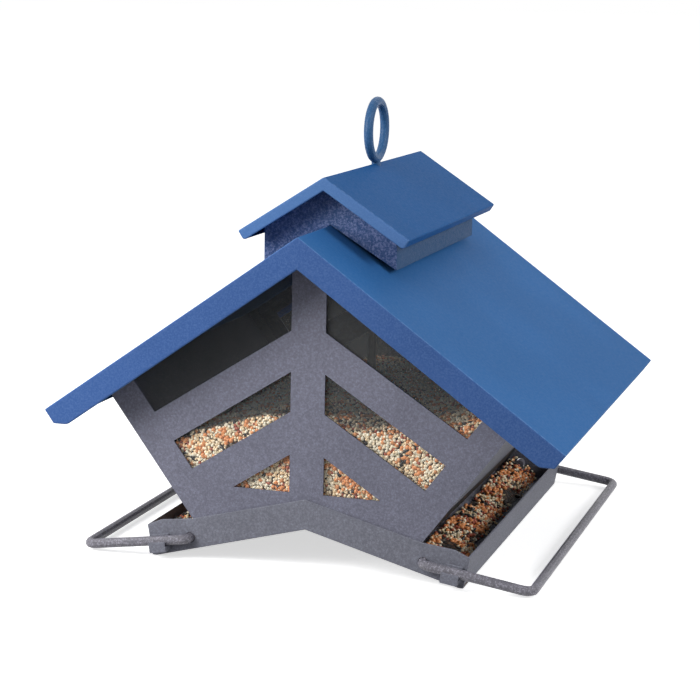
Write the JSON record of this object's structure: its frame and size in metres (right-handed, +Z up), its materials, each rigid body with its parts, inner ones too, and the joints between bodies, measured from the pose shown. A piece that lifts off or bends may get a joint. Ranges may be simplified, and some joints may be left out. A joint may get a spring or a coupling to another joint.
{
  "type": "bird feeder",
  "caption": "Hanging chalet bird feeder in folded sheet steel: gabled seed hopper with windows, side trays, swinging rod perches, lift-off roof with cupola and a hanging ring.",
  "frame": {"origin": "on the ground under the middle of the feeder, level with the bottom hems of the two trays", "axes": "+Z up, +X to the right across the roof's two slopes, -Y towards the viewer of the front gable, so the ridge runs along Y"},
  "size_m": [0.3394, 0.33, 0.2944],
  "materials": {
    "blue_coat": "satin powder coat with a fine texture, mid blue",
    "slate_blue_coat": "speckled powder coat, slate blue",
    "grey_coat": "speckled powder coat, violet grey",
    "dark_coat": "matt black powder coat",
    "light_grey_coat": "rough powder coat, lavender grey",
    "zinc_steel": "zinc plated",
    "clear_pane": "clear",
    "seed_mix": "mixed millet and milo seed"
  },
  "bodies": {
    "feeder": {"base_tray": "grey_coat", "front_gable": "grey_coat", "back_gable": "grey_coat", "front_window": "clear_pane", "back_window": "clear_pane", "left_hopper_wall": "grey_coat", "right_hopper_wall": "grey_coat", "left_seed_baffle": "dark_coat", "right_seed_baffle": "dark_coat", "left_front_rest": "grey_coat", "left_back_rest": "grey_coat", "right_front_rest": "grey_coat", "right_back_rest": "grey_coat", "tie_rod": "zinc_steel", "coupling_nut": "zinc_steel", "base_washer": "zinc_steel", "base_nut": "zinc_steel", "hopper_seed": "seed_mix", "left_tray_seed": "seed_mix", "right_tray_seed": "seed_mix"},
    "roof": {"main_roof": "blue_coat", "cupola_box": "slate_blue_coat", "cupola_roof": "blue_coat"},
    "ring": {"hanging_ring": "blue_coat"},
    "left_perch": {"left_perch": "light_grey_coat"},
    "right_perch": {"right_perch": "light_grey_coat"}
  },
  "joints": [
    {"name": "roof_lift", "type": "slide", "parent": "feeder", "child": "roof", "axis": [0, 0, 1], "range_m": [0, 0.13]},
    {"name": "ring_turn", "type": "hinge", "parent": "roof", "child": "ring", "pos_m": [0, 0, 0.2719], "axis": [0, 0, 1], "continuous": true},
    {"name": "left_perch_swing", "type": "hinge", "parent": "feeder", "child": "left_perch", "pos_m": [-0.0783, 0, 0.0143], "axis": [0, 1, 0], "range_deg": [0, 64]},
    {"name": "right_perch_swing", "type": "hinge", "parent": "feeder", "child": "right_perch", "pos_m": [0.0783, 0, 0.0143], "axis": [0, -1, 0], "range_deg": [0, 64]}
  ]
}
